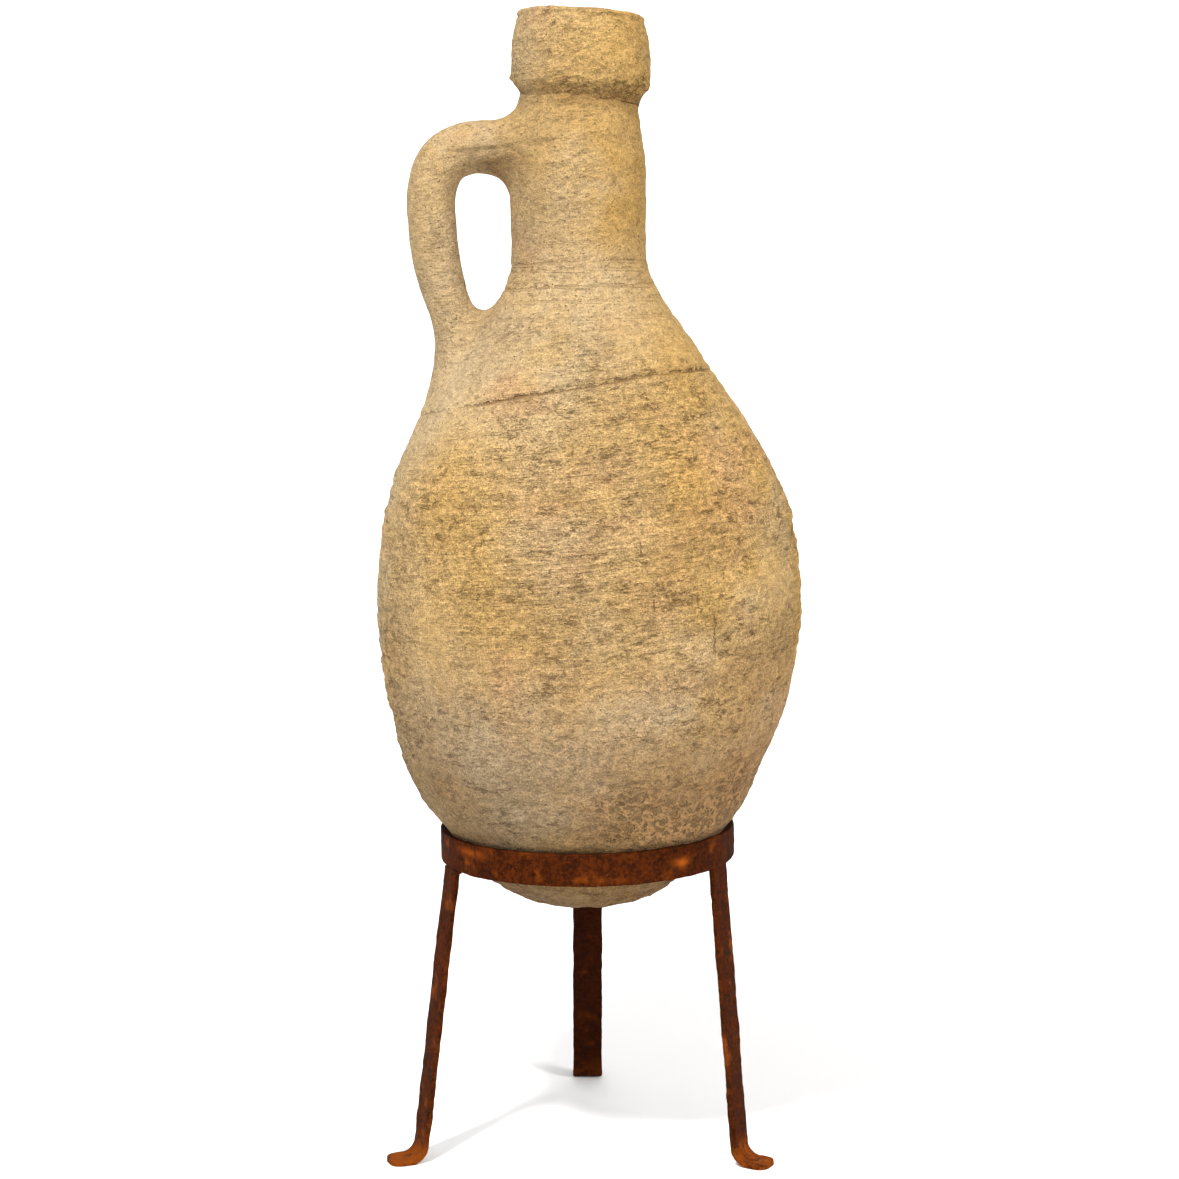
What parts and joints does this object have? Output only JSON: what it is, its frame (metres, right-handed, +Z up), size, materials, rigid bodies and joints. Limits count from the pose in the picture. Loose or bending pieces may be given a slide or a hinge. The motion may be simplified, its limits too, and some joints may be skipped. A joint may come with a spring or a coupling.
{
  "type": "clay jug in iron tripod stand",
  "caption": "Tall round-based clay jug of amphora type with a thick collar and a strap handle, held loose in the hoop of a flat-bar iron tripod.",
  "frame": {"origin": "on the floor, on the axis of the tripod's hoop", "axes": "+Z up; the front is -Y; the handle is on the -X side"},
  "size_m": [0.334, 0.337, 0.8983],
  "materials": {
    "clay_upper": "matte",
    "clay_lower": "matte",
    "rusted_iron": "rusted",
    "weld_metal": "rusted"
  },
  "bodies": {
    "stand": {"ring_hoop": "rusted_iron", "hoop_seam_weld": "weld_metal", "leg_left": "rusted_iron", "leg_right": "rusted_iron", "leg_back": "rusted_iron", "weld_left": "weld_metal", "weld_right": "weld_metal", "weld_back": "weld_metal"},
    "jug": {"lower_body": "clay_lower", "upper_body": "clay_upper", "neck": "clay_upper", "rim_collar": "clay_upper", "handle": "clay_upper"}
  },
  "joints": [
    {"name": "jug_lift", "type": "slide", "parent": "stand", "child": "jug", "axis": [0, 0, 1], "range_m": [0, 0.12]}
  ]
}
